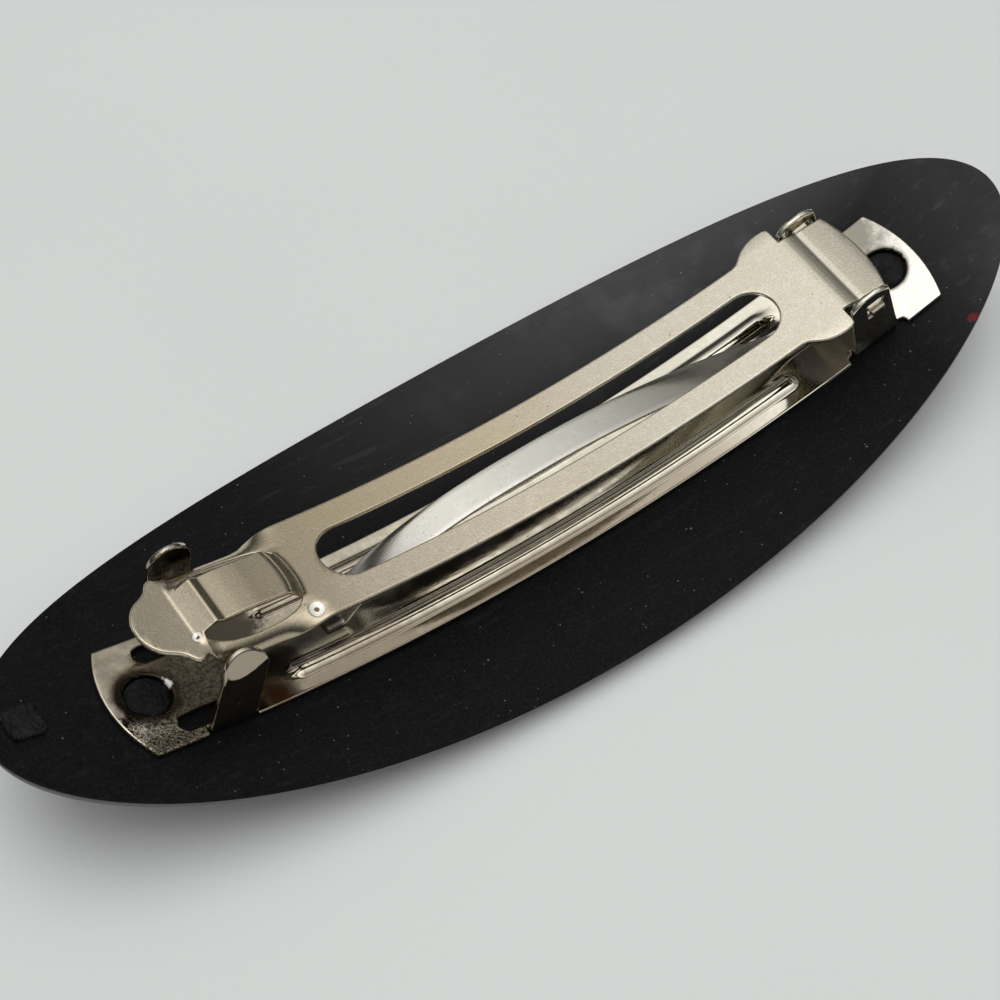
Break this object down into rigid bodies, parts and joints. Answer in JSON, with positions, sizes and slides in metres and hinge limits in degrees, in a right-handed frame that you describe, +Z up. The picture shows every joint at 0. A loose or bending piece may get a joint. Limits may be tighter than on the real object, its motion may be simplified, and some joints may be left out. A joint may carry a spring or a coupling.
{
  "type": "french barrette",
  "caption": "Oval hair barrette lying on its front: a curved plate carries a sprung clip with a hinged slotted arm that latches between two ears.",
  "frame": {"origin": "centre of the bounding box at its lowest point, under the front face of the plate on which the barrette lies", "axes": "+X along the plate from the latch end to the hinge end, +Z up from the front of the plate to the clip arm, +Y across the plate"},
  "size_m": [0.098, 0.0332, 0.0176],
  "materials": {
    "black_plastic": "matt black with a fine grain and dust",
    "nickel_strip": "bright nickel plate, tarnished brown in places",
    "satin_arm": "satin nickel plate with faint stains",
    "spring_steel": "bright, finely pitted"
  },
  "bodies": {
    "back": {"oval_plate": "black_plastic", "base_strip": "nickel_strip", "spring_strip": "spring_steel"},
    "arm": {"clasp_arm": "satin_arm"}
  },
  "joints": [
    {"name": "arm_hinge", "type": "hinge", "parent": "back", "child": "arm", "pos_m": [0.03112, -0.00081, 0.01266], "axis": [0, 1, 0], "range_deg": [0, 110]}
  ]
}
